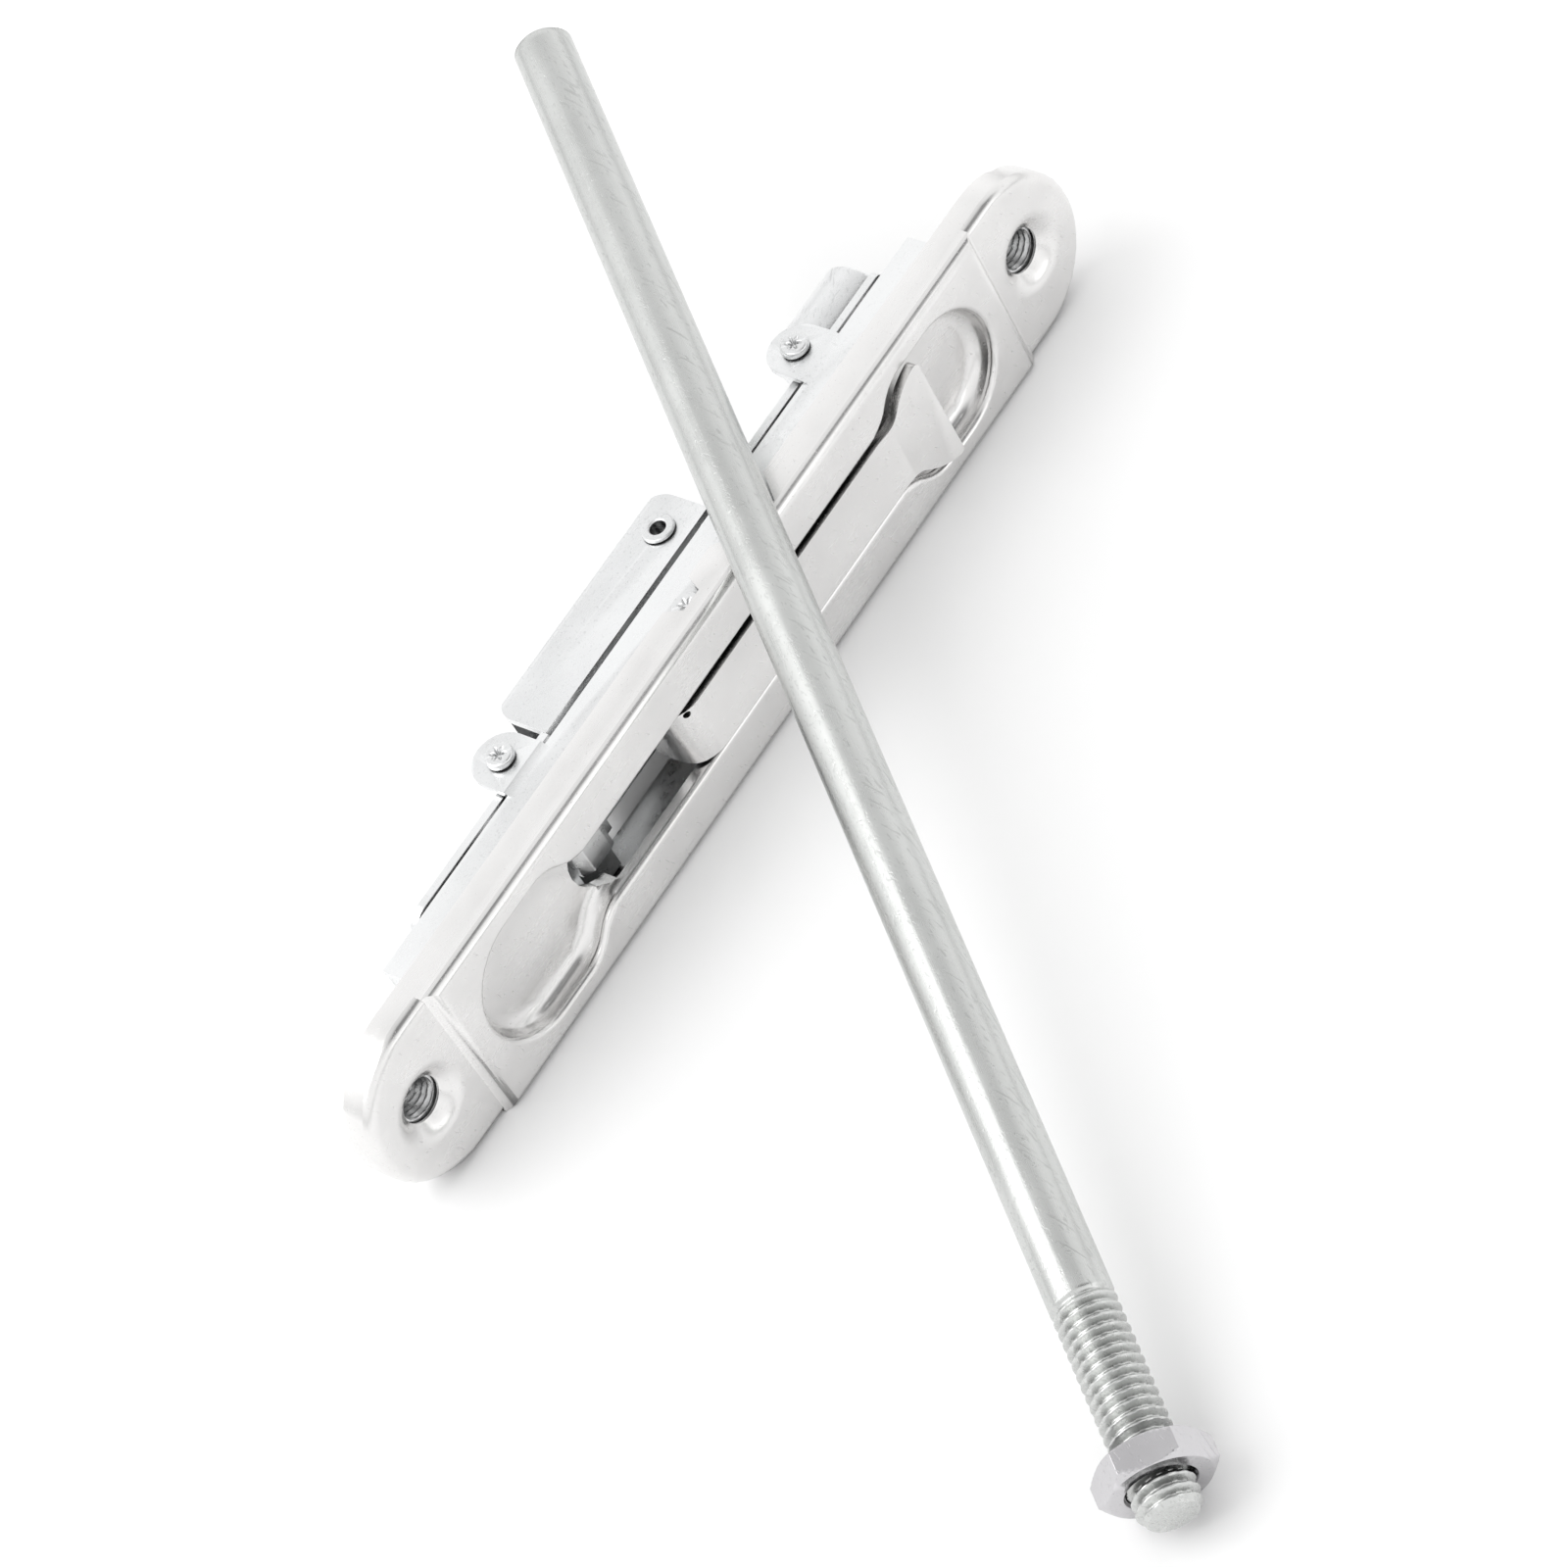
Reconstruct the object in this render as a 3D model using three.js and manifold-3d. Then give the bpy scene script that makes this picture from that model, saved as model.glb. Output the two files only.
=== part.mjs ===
// Lever flush bolt: a bolt body lying on its long side, with its loose extension rod leaning across it.
// The body is built in its own frame (x along the face plate, y across it, z out of its face, z = 0 at
// the face) and then laid on its side. Lengths are in millimetres.
import * as THREE from "three";
import { mergeVertices } from "three/addons/utils/BufferGeometryUtils.js";
import Module from "manifold-3d";

const wasm = await Module();
wasm.setup();

// Driving dimensions.
const WIDTH = 25.4;
const HALF = WIDTH / 2;
const ROD_DIAMETER = 7.94;
const THREAD_PITCH = 1.411;
const NUT_ACROSS_FLATS = 12.7;

const PLATE = {
  sheet: 1.2, skirt: 5.8, raisedHalf: 59.5, step: 1.2, stepRun: 2.1, tabCentre: 66, edgeRound: 1.4,
};
const RECESS = {
  slotHalf: 5.2, cupHalf: 9.2, cupCentre: 47.4, neckStart: 32, neckEnd: 41.5, rim: 0.8, wall: 0.8,
};
const CUP = { depth: 3.5, round: 2.3, outerRound: 1.75, sheet: 1 };
const SLOT = { end: 35, wallDepth: 2.1, wallEnd: 30.5 };
const SCREW = {
  centre: 68.8, dimpleRadius: 6, holeRadius: 3.1, dimpleDepth: 1.7, bossRadius: 7.1, bossFoot: 4.4,
};
const SCALLOP = { count: 5, radius: 3.2, bite: 0.4, spacingDeg: 29 };
const HOUSING = { half: 59.5, outer: 11, sheet: 0.8, front: 1.5, rear: 10.4, endRear: 10 };
const EAR = {
  outer: 11.5, halfWidth: 4.1, jogStart: 9.2, jogEnd: 10.8, upper: 38.9, lower: -28.2,
  pinDepth: 14.2,
};
const PIN = { shank: 1.5, head: 1.95, headTop: HALF, headFoot: 11.75, punch: 0.9, sink: 0.45 };
const PIVOT = {
  depth: 4.6, shank: 1.7, sleeve: 2.25, head: 2, headFoot: 11.05, headTop: 11.42, punch: 1.1,
  sink: 0.3, bush: 3,
};
const NOTCH = {
  pivotX: 0.2, pivotOpen: 2.9, pivotBottom: 1.7, pivotDepth: 3.2, lugX: 14.2, lugOpen: 6,
  lugBottom: 2.7, lugDepth: 1.6,
};
const BUSH = { front: 3.5, rear: 9, radius: 4.6, bore: 2.7, lead: 0.5 };
const LEVER = {
  half: 4.75, sheet: 1.4, proud: 0.3, noseEnd: -13.5, noseRound: 5, tip: 43.6, flareStart: 35.2,
};
const STOP = { low: -32.4, high: -26.5, half: 9.9, rear: 9.4, shoulder: 6.6, topHalf: 4.4, top: 4.8 };
const BAR = {
  front: 11.5, rear: 12.7, half: 10.2, narrowHalf: 8.3, low: -52.5, high: 54, windowHalf: 5.3,
  windowLow: -19.2, windowHigh: -4.8,
};
const CARRIAGE = { low: -22, high: 14.7, outer: 9.6, sheet: 1, front: 12.5, rear: 21.8, corner: 3.4 };
const RIVET = { x: 9.4, depth: 16.8, bore: 1.1, outer: 1.5, flange: 2.3 };
const TUBE = { low: 41.8, high: 55.7, radius: 6.35, bore: 3.4, depth: 19.15, boreStart: 44.2 };
const ROD = {
  length: 226.8, threadLength: 28.2, chamfer: 0.8, headingDeg: 52.3, crossing: 11.4,
  toCrossing: 81.2,
};
const NUT = { thickness: 4, fromEnd: 5.8, bore: 4.12, turnDeg: -4 };
const SPRING = { y: 7, half: 1.3, thickness: 0.5, rivetX: 27, rivetRadius: 0.7, start: 29.5, end: 14 };

const CLEAR = 0.25;
const ROUND_STEPS = 28;

// Wide enough, and deep enough, to cut right through any piece of the body.
const FAR = 90;
const THROUGH = 9;

// Depth behind the face of the line that the part's own zero lies on.
const REST_DEPTH = 1.45;

// Points along an arc, angles in degrees.
function arc(x, y, radius, from, to, steps) {
  const points = [];
  for (let i = 0; i <= steps; i++) {
    const angle = THREE.MathUtils.degToRad(from + ((to - from) * i) / steps);
    points.push(new THREE.Vector2(x + radius * Math.cos(angle), y + radius * Math.sin(angle)));
  }
  return points;
}

function polygon(...pairs) {
  return pairs.map(([x, y]) => new THREE.Vector2(x, y));
}

function rectangle(x0, x1, y0, y1) {
  return polygon([x0, y0], [x1, y0], [x1, y1], [x0, y1]);
}

// The same points, mirrored across the x axis and run the other way.
function mirrored(points) {
  return points.map((p) => new THREE.Vector2(p.x, -p.y)).reverse();
}

// A closed manifold-3d solid from a three.js geometry.
function solid(geometry) {
  geometry.deleteAttribute("normal");
  geometry.deleteAttribute("uv");
  const merged = mergeVertices(geometry, 1e-4);
  return new wasm.Manifold(
    new wasm.Mesh({
      numProp: 3,
      vertProperties: new Float32Array(merged.attributes.position.array),
      triVerts: new Uint32Array(merged.index.array),
    }),
  );
}

// An outline in x and y, filled between two heights. A bevel rounds both ends, or flares them if negative.
function slab(points, low, high, bevel = 0) {
  const round = Math.abs(bevel);
  const geometry = new THREE.ExtrudeGeometry(new THREE.Shape(points), {
    depth: high - low - 2 * round,
    bevelEnabled: round > 0,
    bevelThickness: round,
    bevelSize: bevel,
    bevelOffset: bevel > 0 ? -bevel : 0,
    bevelSegments: 4,
  });
  geometry.translate(0, 0, low + round);
  return solid(geometry);
}

function extruded(points, depth) {
  return new THREE.ExtrudeGeometry(new THREE.Shape(points), { depth, bevelEnabled: false });
}

// An outline in x and z, filled between two y positions.
function sideSlab(points, low, high) {
  const geometry = extruded(points, high - low);
  geometry.rotateX(Math.PI / 2);
  geometry.translate(0, high, 0);
  return solid(geometry);
}

// A cross-section in y and z, filled between two x positions.
function lengthSlab(points, low, high) {
  const geometry = extruded(points, high - low);
  const turn = new THREE.Matrix4().set(0, 0, 1, 0, 1, 0, 0, 0, 0, 1, 0, 0, 0, 0, 0, 1);
  geometry.applyMatrix4(turn);
  geometry.translate(low, 0, 0);
  return solid(geometry);
}

function block(x0, x1, y0, y1, z0, z1) {
  const geometry = new THREE.BoxGeometry(x1 - x0, y1 - y0, z1 - z0);
  geometry.translate((x0 + x1) / 2, (y0 + y1) / 2, (z0 + z1) / 2);
  return solid(geometry);
}

// A solid of revolution about the y axis from [radius, y] pairs that start and end on the axis.
function turned(pairs, steps = ROUND_STEPS) {
  return solid(new THREE.LatheGeometry(pairs.map(([r, y]) => new THREE.Vector2(r, y)), steps));
}

// A round bar across the body at a place along it and a depth behind its face.
function crossBar(radius, y0, y1, x, depth, steps = ROUND_STEPS) {
  return turned([[0, y0], [radius, y0], [radius, y1], [0, y1]], steps).translate([x, 0, -depth]);
}

// A round bar along z.
function postBar(radius, z0, z1, x, y = 0) {
  return turned([[0, z0], [radius, z0], [radius, z1], [0, z1]]).rotate([90, 0, 0]).translate([x, y, 0]);
}

// Both sides of a piece that is the same at +y and -y.
function bothSides(piece) {
  return piece.add(piece.mirror([0, 1, 0]));
}

// Outline of the lever recess: a slot that widens through S-shaped necks into two finger cups.
function recessOutline(slotHalf, cupHalf) {
  const { cupCentre, neckStart, neckEnd } = RECESS;
  const run = neckEnd - neckStart;
  const rise = cupHalf - slotHalf;
  const radius = (run * run + rise * rise) / (4 * rise);
  const turn = THREE.MathUtils.radToDeg(Math.asin(run / 2 / radius));
  const quarter = [
    ...arc(cupCentre, 0, cupHalf, 0, 90, 10),
    ...arc(neckEnd, cupHalf - radius, radius, 90, 90 + turn, 5),
    ...arc(neckStart, slotHalf + radius, radius, turn - 90, -90, 5).slice(1),
  ];
  const left = quarter.map((p) => new THREE.Vector2(-p.x, p.y)).reverse();
  const upper = [...quarter, ...left];
  return [...upper, ...mirrored(upper).slice(1, -1)];
}

// Outline of the whole plate: straight sides and half-round tabs.
function plateOutline(half) {
  const right = arc(PLATE.tabCentre, 0, half, -90, 90, 20);
  const left = arc(-PLATE.tabCentre, 0, half, 90, 270, 20);
  return [...right, ...left];
}

// The pressed tray: raised middle, lower tabs, turned-back skirt, open at the back.
function tray() {
  const { sheet, skirt, raisedHalf, step, stepRun, edgeRound } = PLATE;
  const middleEnd = raisedHalf + stepRun;
  const inner = HALF - sheet;
  const outside = slab(plateOutline(HALF), -skirt - edgeRound, -step, edgeRound)
    .add(slab(rectangle(-middleEnd, middleEnd, -HALF, HALF), -skirt - edgeRound, 0, edgeRound))
    .subtract(block(-FAR, FAR, -HALF - 1, HALF + 1, -skirt - edgeRound - 1, -skirt));
  const slope = [];
  const strips = 8;
  for (let i = 0; i <= strips; i++) {
    slope.push([raisedHalf + (stepRun * i) / strips, (step * (Math.cos((Math.PI * i) / strips) - 1)) / 2]);
  }
  const wedge = polygon(...slope, [FAR, -step], [FAR, 1], [raisedHalf, 1]);
  const stepCut = sideSlab(wedge, -HALF - 1, HALF + 1);
  const hollow = slab(plateOutline(inner), -skirt - 1, -step - sheet)
    .add(slab(rectangle(-raisedHalf, raisedHalf, -inner, inner), -skirt - 1, -sheet));
  return outside.subtract(stepCut).subtract(stepCut.mirror([1, 0, 0])).subtract(hollow);
}

// The walls and floors that are pressed down around the slot and the cups.
function recessWalls() {
  const { slotHalf, cupHalf, wall } = RECESS;
  const above = block(-FAR, FAR, -HALF, HALF, -PLATE.sheet + 0.4, THROUGH);
  const belowSlot = block(-SLOT.wallEnd, SLOT.wallEnd, -HALF, HALF, -THROUGH, -SLOT.wallDepth);
  return slab(recessOutline(slotHalf + wall, cupHalf + wall), -CUP.depth - CUP.sheet, 4, CUP.outerRound)
    .subtract(above)
    .subtract(belowSlot);
}

// Everything that is cut away inside the walls: the rolled rim, the cups and the through slot.
function recessCut() {
  const { slotHalf, cupHalf, rim } = RECESS;
  const rimCut = slab(recessOutline(slotHalf + rim, cupHalf + rim), -3, 0.01, -rim)
    .subtract(block(-FAR, FAR, -HALF, HALF, -THROUGH, -rim - 0.3));
  const cups = slab(recessOutline(slotHalf, cupHalf), -CUP.depth, 4, CUP.round)
    .subtract(block(-FAR, FAR, -HALF, HALF, -rim - 0.1, THROUGH));
  const slotRun = SLOT.end - slotHalf;
  const slotShape = [...arc(slotRun, 0, slotHalf, -90, 90, 10), ...arc(-slotRun, 0, slotHalf, 90, 270, 10)];
  return rimCut.add(cups).add(slab(slotShape, -THROUGH, 1));
}

// A dimpled screw hole: a pressed cone in a tab, with its boss behind.
function dimpleBoss(x) {
  const top = -PLATE.step - PLATE.sheet + 0.1;
  const foot = -PLATE.step - SCREW.dimpleDepth - 0.3;
  const profile = [[0, foot], [SCREW.bossFoot, foot], [SCREW.bossRadius, top], [0, top]];
  return turned(profile).rotate([90, 0, 0]).translate([x, 0, 0]);
}

function dimpleCut(x) {
  const face = -PLATE.step;
  const profile = [[0, -THROUGH], [SCREW.holeRadius, -THROUGH]];
  const strips = 6;
  for (let i = 0; i <= strips; i++) {
    const turn = (Math.PI / 2) * (1 - i / strips);
    const radius = SCREW.holeRadius + (SCREW.dimpleRadius - SCREW.holeRadius) * (i / strips);
    profile.push([radius, face - SCREW.dimpleDepth * (1 - Math.cos(turn))]);
  }
  profile.push([SCREW.dimpleRadius, 1], [0, 1]);
  return turned(profile).rotate([90, 0, 0]).translate([x, 0, 0]);
}

// A notch in the skirt, wide at its open edge and narrow at its bottom.
function skirtNotch(x, openHalf, bottomHalf, bottomDepth) {
  const edge = -PLATE.skirt - 1;
  const shape = polygon(
    [x - openHalf, edge],
    [x + openHalf, edge],
    [x + openHalf, -PLATE.skirt],
    [x + bottomHalf, -bottomDepth],
    [x - bottomHalf, -bottomDepth],
    [x - openHalf, -PLATE.skirt],
  );
  return sideSlab(shape, HALF - PLATE.sheet - 0.2, HALF + 1);
}

// The wrinkles left in the skirt's open edge round one half-round end: a row of shallow scallops.
function skirtScallops(side) {
  const { count, radius, bite, spacingDeg } = SCALLOP;
  let made = null;
  for (let i = 0; i < count; i++) {
    const turn = (i - (count - 1) / 2) * spacingDeg - side * 90;
    const scallop = turned([[0, HALF - 2], [radius, HALF - 2], [radius, HALF + 1], [0, HALF + 1]])
      .translate([0, 0, bite - PLATE.skirt - radius])
      .rotate([0, 0, turn])
      .translate([side * PLATE.tabCentre, 0, 0]);
    made = made ? made.add(scallop) : scallop;
  }
  return made;
}

function facePlate() {
  let plate = tray().add(recessWalls()).subtract(recessCut());
  for (const side of [-1, 1]) {
    const x = side * SCREW.centre;
    plate = plate.add(dimpleBoss(x)).subtract(dimpleCut(x)).subtract(skirtScallops(side));
  }
  const pivotNotch = skirtNotch(NOTCH.pivotX, NOTCH.pivotOpen, NOTCH.pivotBottom, NOTCH.pivotDepth);
  const lugNotch = skirtNotch(NOTCH.lugX, NOTCH.lugOpen, NOTCH.lugBottom, NOTCH.lugDepth);
  return plate.subtract(bothSides(pivotNotch)).subtract(bothSides(lugNotch));
}

// A threaded bush behind a screw hole.
function screwBush() {
  const { front, rear, radius, bore, lead } = BUSH;
  const profile = [
    [0, -rear],
    [radius - lead, -rear],
    [radius, lead - rear],
    [radius, -front],
    [0, -front],
  ];
  const hole = turned([[0, -rear - 1], [bore, -rear - 1], [bore, 1], [0, 1]]);
  return turned(profile).subtract(hole).rotate([90, 0, 0]);
}

// Cross-section of an ear's strip: it rises from the housing wall and steps outward.
function earStrip() {
  const { outer, jogStart, jogEnd, pinDepth, halfWidth } = EAR;
  const wall = HOUSING.outer;
  const sheet = HOUSING.sheet;
  const end = -pinDepth - halfWidth;
  return polygon(
    [wall - sheet, 1 - jogStart],
    [wall - sheet, -jogStart - 0.3],
    [outer - sheet, -jogEnd],
    [outer - sheet, end],
    [outer, end],
    [outer, -jogEnd],
    [wall, -jogStart - 0.3],
    [wall, 1 - jogStart],
  ).reverse();
}

function ear(x) {
  const { halfWidth, pinDepth } = EAR;
  const root = 2 - HOUSING.rear;
  const outline = [
    ...polygon([x + halfWidth, root], [x - halfWidth, root]),
    ...arc(x, -pinDepth, halfWidth, 180, 360, 14),
  ];
  const strip = lengthSlab(earStrip(), x - halfWidth, x + halfWidth);
  const pinHole = crossBar(PIN.shank + CLEAR, THROUGH, HALF, x, pinDepth);
  return strip.intersect(sideSlab(outline, 0, HALF)).subtract(pinHole);
}

// The channel behind the plate: walls, closed ends, a web with an opening for the recess, four ears.
function housing() {
  const { half, outer, sheet, front, rear, endRear } = HOUSING;
  const inner = outer - sheet;
  const shell = block(-half, half, -outer, outer, -rear, -front)
    .subtract(block(-half - 1, half + 1, -inner, inner, -rear - 1, -endRear))
    .subtract(block(sheet - half, half - sheet, -inner, inner, -rear - 1, -front - sheet));
  const webEnd = half - 1.9;
  const opening = slab(recessOutline(RECESS.slotHalf + 1.2, inner + 0.01), -front - sheet - 1, 0)
    .intersect(block(-webEnd, webEnd, -inner, inner, -THROUGH, 0));
  const pivotGapHalf = PIVOT.bush + 0.4;
  const pivotGap = block(-pivotGapHalf, pivotGapHalf, -inner, inner, -front - sheet - 1, 0);
  let made = shell.subtract(opening).subtract(pivotGap);
  for (const x of [EAR.upper, EAR.lower]) {
    made = made.add(bothSides(ear(x)));
  }
  const pivotHole = crossBar(PIVOT.shank + CLEAR, -HALF, HALF, 0, PIVOT.depth);
  const springHole = postBar(SPRING.rivetRadius + CLEAR, -THROUGH, 0, SPRING.rivetX, SPRING.y);
  return made.subtract(pivotHole).subtract(springHole);
}

// A cross rivet: a shank with a low head at each end, each head punched with a small cone.
function crossRivet({ shank, head, headFoot, headTop, punch, sink }, x, depth) {
  const edge = 0.2;
  const half = [
    [shank, headFoot],
    [head, headFoot],
    [head, headTop - edge],
    [head - edge, headTop],
    [punch, headTop],
    [0, headTop - sink],
  ];
  const lower = half.map(([r, y]) => [r, -y]).reverse();
  return turned([...lower, ...half], 24).translate([x, 0, -depth]);
}

// A round sleeve across the body.
function sleeve(bore, outer, low, high, x, depth) {
  return crossBar(outer, low, high, x, depth).subtract(crossBar(bore, low - 1, high + 1, x, depth));
}

// Plan outline of the lever: rounded nose, straight arms, S-shaped flare out to the finger end.
function leverOutline() {
  const { half, noseEnd, flareStart } = LEVER;
  const noseCorner = 1.6;
  const tipCorner = 0.8;
  const hollow = 3;
  const bulge = 10.7;
  const steepest = 48;
  const last = 15;
  const steepestTurn = THREE.MathUtils.degToRad(steepest);
  const lastTurn = THREE.MathUtils.degToRad(last);
  const bulgeX = flareStart + (hollow + bulge) * Math.sin(steepestTurn);
  const bulgeY = half + hollow - (hollow + bulge) * Math.cos(steepestTurn);
  const tipX = bulgeX - (bulge - tipCorner) * Math.sin(lastTurn);
  const tipY = bulgeY + (bulge - tipCorner) * Math.cos(lastTurn);
  const upper = [
    ...arc(tipX, tipY, tipCorner, 0, 90 + last, 4),
    ...arc(bulgeX, bulgeY, bulge, 90 + last, 90 + steepest, 6).slice(1),
    ...arc(flareStart, half + hollow, hollow, steepest - 90, -90, 5).slice(1),
    ...arc(noseEnd + noseCorner, half - noseCorner, noseCorner, 90, 180, 4),
  ];
  return [...upper, ...mirrored(upper)];
}

// Side profile of the lever's sheet: a curled-down nose, a flat arm and a finger end that rises a little.
function leverSheetProfile() {
  const { sheet, proud, noseEnd, noseRound, tip } = LEVER;
  const bendX = noseEnd + noseRound;
  const bendZ = proud - noseRound;
  const lift = 0.9;
  const liftStart = 33;
  const curl = 2;
  return [
    ...polygon([tip, proud + lift], [liftStart, proud]),
    ...arc(bendX, bendZ, noseRound, 90, 180, 7),
    ...polygon([noseEnd, bendZ - curl], [noseEnd + sheet, bendZ - curl]),
    ...arc(bendX, bendZ, noseRound - sheet, 180, 90, 7),
    ...polygon([liftStart, proud - sheet], [tip, proud + lift - sheet]),
  ];
}

// Side profile of the lever's two side walls, deepest round the pivot.
function leverSideProfile() {
  const { proud, noseEnd, noseRound } = LEVER;
  const bendX = noseEnd + noseRound;
  const bendZ = proud - noseRound;
  return [
    ...polygon([28, proud - 0.4], [28, -2.2], [6, -4.6]),
    ...arc(0, -PIVOT.depth, 3.3, -20, -160, 10),
    ...polygon([noseEnd + 0.1, bendZ - 2]),
    ...arc(bendX, bendZ, noseRound - 0.1, 180, 90, 7),
  ].reverse();
}

function lever() {
  const { half } = LEVER;
  const outline = slab(leverOutline(), -THROUGH, 3);
  const sheet = sideSlab(leverSheetProfile(), -HALF, HALF).intersect(outline);
  const side = sideSlab(leverSideProfile(), half - 1.2, half).intersect(outline);
  const bushHole = crossBar(PIVOT.bush + CLEAR, -half - 1, half + 1, 0, PIVOT.depth);
  const reliefHole = postBar(0.5, -2, 2, -10.7, half - 0.6);
  return sheet.add(bothSides(side)).subtract(bushHole).subtract(reliefHole);
}

// The block that the turned-over lever rests on, wide where it is held between the housing walls.
function stopBlock() {
  const { low, high, half, rear, shoulder, topHalf, top } = STOP;
  const base = block(low, high, -half, half, -rear, -shoulder);
  const side = polygon(
    [low, -shoulder - 0.4],
    [high, -shoulder - 0.4],
    [high, -top - 0.2],
    [high - 0.8, -top],
    [low + 1.4, -top],
    [low, -top - 1],
  );
  return base.add(sideSlab(side, -topHalf, topHalf));
}

// A flat bent spring between the housing web and the drive bar.
function leafSpring() {
  const { y, half, thickness, rivetX, rivetRadius, start, end } = SPRING;
  const seat = -HOUSING.front - HOUSING.sheet - CLEAR;
  const middle = [
    [start, seat],
    [start - 4.5, seat],
    [start - 6.5, seat - 0.9],
    [start - 10, -8.4],
    [end + 3.8, -10.1],
    [end + 2, -10.4],
    [end, -9.2],
  ];
  const lower = middle.map(([x, z]) => [x, z - thickness]).reverse();
  const strip = sideSlab(polygon(...middle, ...lower).reverse(), y - half, y + half);
  return strip.subtract(postBar(rivetRadius + CLEAR, -THROUGH, 0, rivetX, y));
}

function springRivet() {
  const { y, half, thickness, rivetX, rivetRadius } = SPRING;
  const top = -PLATE.sheet - 0.1;
  const foot = -HOUSING.front - HOUSING.sheet - thickness - 2 * CLEAR;
  const headDepth = 0.6;
  const profile = [
    [0, foot - headDepth],
    [half, foot - headDepth],
    [half, foot],
    [rivetRadius, foot],
    [rivetRadius, top],
    [0, top],
  ];
  return turned(profile, 16).rotate([90, 0, 0]).translate([rivetX, y, 0]);
}

// The flat bar that slides in the housing, with a window the lever's nose works in and two riveting lugs.
function driveBar() {
  const { front, rear, half, narrowHalf, low, high, windowHalf } = BAR;
  const corner = 3;
  const lugHalf = 3;
  const waistLow = CARRIAGE.low - 0.3;
  const waistHigh = CARRIAGE.high + 0.3;
  const upper = [
    ...arc(high - 1, half - 1, 1, 0, 90, 3),
    ...polygon([waistHigh, half], [waistHigh, narrowHalf], [waistLow, narrowHalf], [waistLow, half]),
    ...arc(low + corner, half - corner, corner, 90, 180, 5),
  ];
  const plate = slab([...upper, ...mirrored(upper)], -rear, -front);
  const windowShape = rectangle(BAR.windowLow, BAR.windowHigh, -windowHalf, windowHalf);
  const window = slab(windowShape, -rear - 1, 1 - front);
  const lugEnd = -RIVET.depth - 2.6;
  const lug = block(RIVET.x - lugHalf, RIVET.x + lugHalf, narrowHalf - 1, narrowHalf, lugEnd, -front - 0.2)
    .subtract(crossBar(RIVET.outer + CLEAR, 0, HALF, RIVET.x, RIVET.depth));
  return plate.subtract(window).add(bothSides(lug));
}

// The channel that bridges the bar's window, open towards the plate.
function carriage() {
  const { low, high, outer, sheet, front, rear, corner } = CARRIAGE;
  const round = 1.2;
  const side = [
    ...polygon([high, -front], [low, -front]),
    ...arc(low + corner, -rear + corner, corner, 180, 270, 6),
    ...arc(high - corner, -rear + corner, corner, 270, 360, 6),
  ];
  const section = [
    ...polygon([outer, -front + 1], [-outer, -front + 1]),
    ...arc(round - outer, round - rear, round, 180, 270, 4),
    ...arc(outer - round, round - rear, round, 270, 360, 4),
  ];
  const hollow = rectangle(sheet - outer, outer - sheet, sheet - rear, 0);
  const rivetHole = crossBar(RIVET.outer + CLEAR, -HALF, HALF, RIVET.x, RIVET.depth);
  return sideSlab(side, -outer, outer)
    .intersect(lengthSlab(section, low, high))
    .subtract(lengthSlab(hollow, low - 1, high + 1))
    .subtract(rivetHole);
}

// A hollow rivet through one carriage wall and one lug.
function tubularRivet(side) {
  const { bore, outer, flange } = RIVET;
  const foot = BAR.narrowHalf - 1.25;
  const seat = CARRIAGE.outer + CLEAR;
  const rolled = 0.45;
  const profile = [
    [0, foot - rolled],
    [flange - 0.2, foot - rolled],
    [flange - 0.2, foot],
    [outer, foot],
    [outer, seat],
    [flange, seat],
    [flange, seat + 0.2],
    [flange - 0.3, seat + rolled],
    [0, seat + rolled],
  ];
  const made = turned(profile, 24).subtract(crossBar(bore, 0, HALF, 0, 0, 24));
  const placed = made.translate([RIVET.x, 0, -RIVET.depth]);
  return side > 0 ? placed : placed.mirror([0, 1, 0]);
}

// The tube that the rod's plain end can't enter and its thread screws into.
function tubeSocket() {
  const { low, high, radius, bore, depth, boreStart } = TUBE;
  const lead = 0.4;
  const body = turned([[0, low], [radius, low], [radius, high - lead], [radius - lead, high], [0, high]], 36);
  const hole = turned([[0, boreStart], [bore, boreStart], [bore, high + 1], [0, high + 1]]);
  return body.subtract(hole).rotate([0, 0, -90]).translate([0, 0, -depth]);
}

// The extension rod along +y: plain chamfered end at 0, threaded end at its length.
function extensionRod() {
  const radius = ROD_DIAMETER / 2;
  const root = radius - 0.6 * THREAD_PITCH;
  const profile = [[0, 0], [radius - ROD.chamfer, 0], [radius, ROD.chamfer]];
  const start = ROD.length - ROD.threadLength;
  const ridges = Math.floor((ROD.threadLength - 1) / THREAD_PITCH);
  profile.push([radius, start]);
  for (let i = 0; i < ridges; i++) {
    const y = start + i * THREAD_PITCH;
    profile.push([root, y + 0.55 * THREAD_PITCH], [radius, y + THREAD_PITCH]);
  }
  profile.push([root - 0.2, ROD.length], [0, ROD.length]);
  return turned(profile, 32);
}

// The hexagon nut along +y, centred on 0, its corners chamfered.
function hexNut() {
  const corner = NUT_ACROSS_FLATS / Math.sqrt(3);
  const half = NUT.thickness / 2;
  const geometry = new THREE.CylinderGeometry(corner, corner, NUT.thickness, 6);
  const slope = 0.7;
  const inside = corner - 1.2;
  const outside = corner + 0.2;
  const chamfer = [
    [0, -half],
    [inside, -half],
    [outside, slope - half],
    [outside, half - slope],
    [inside, half],
    [0, half],
  ];
  const bore = crossBar(NUT.bore, -half - 1, half + 1, 0, 0);
  return solid(geometry).intersect(turned(chamfer, 36)).subtract(bore);
}

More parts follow.
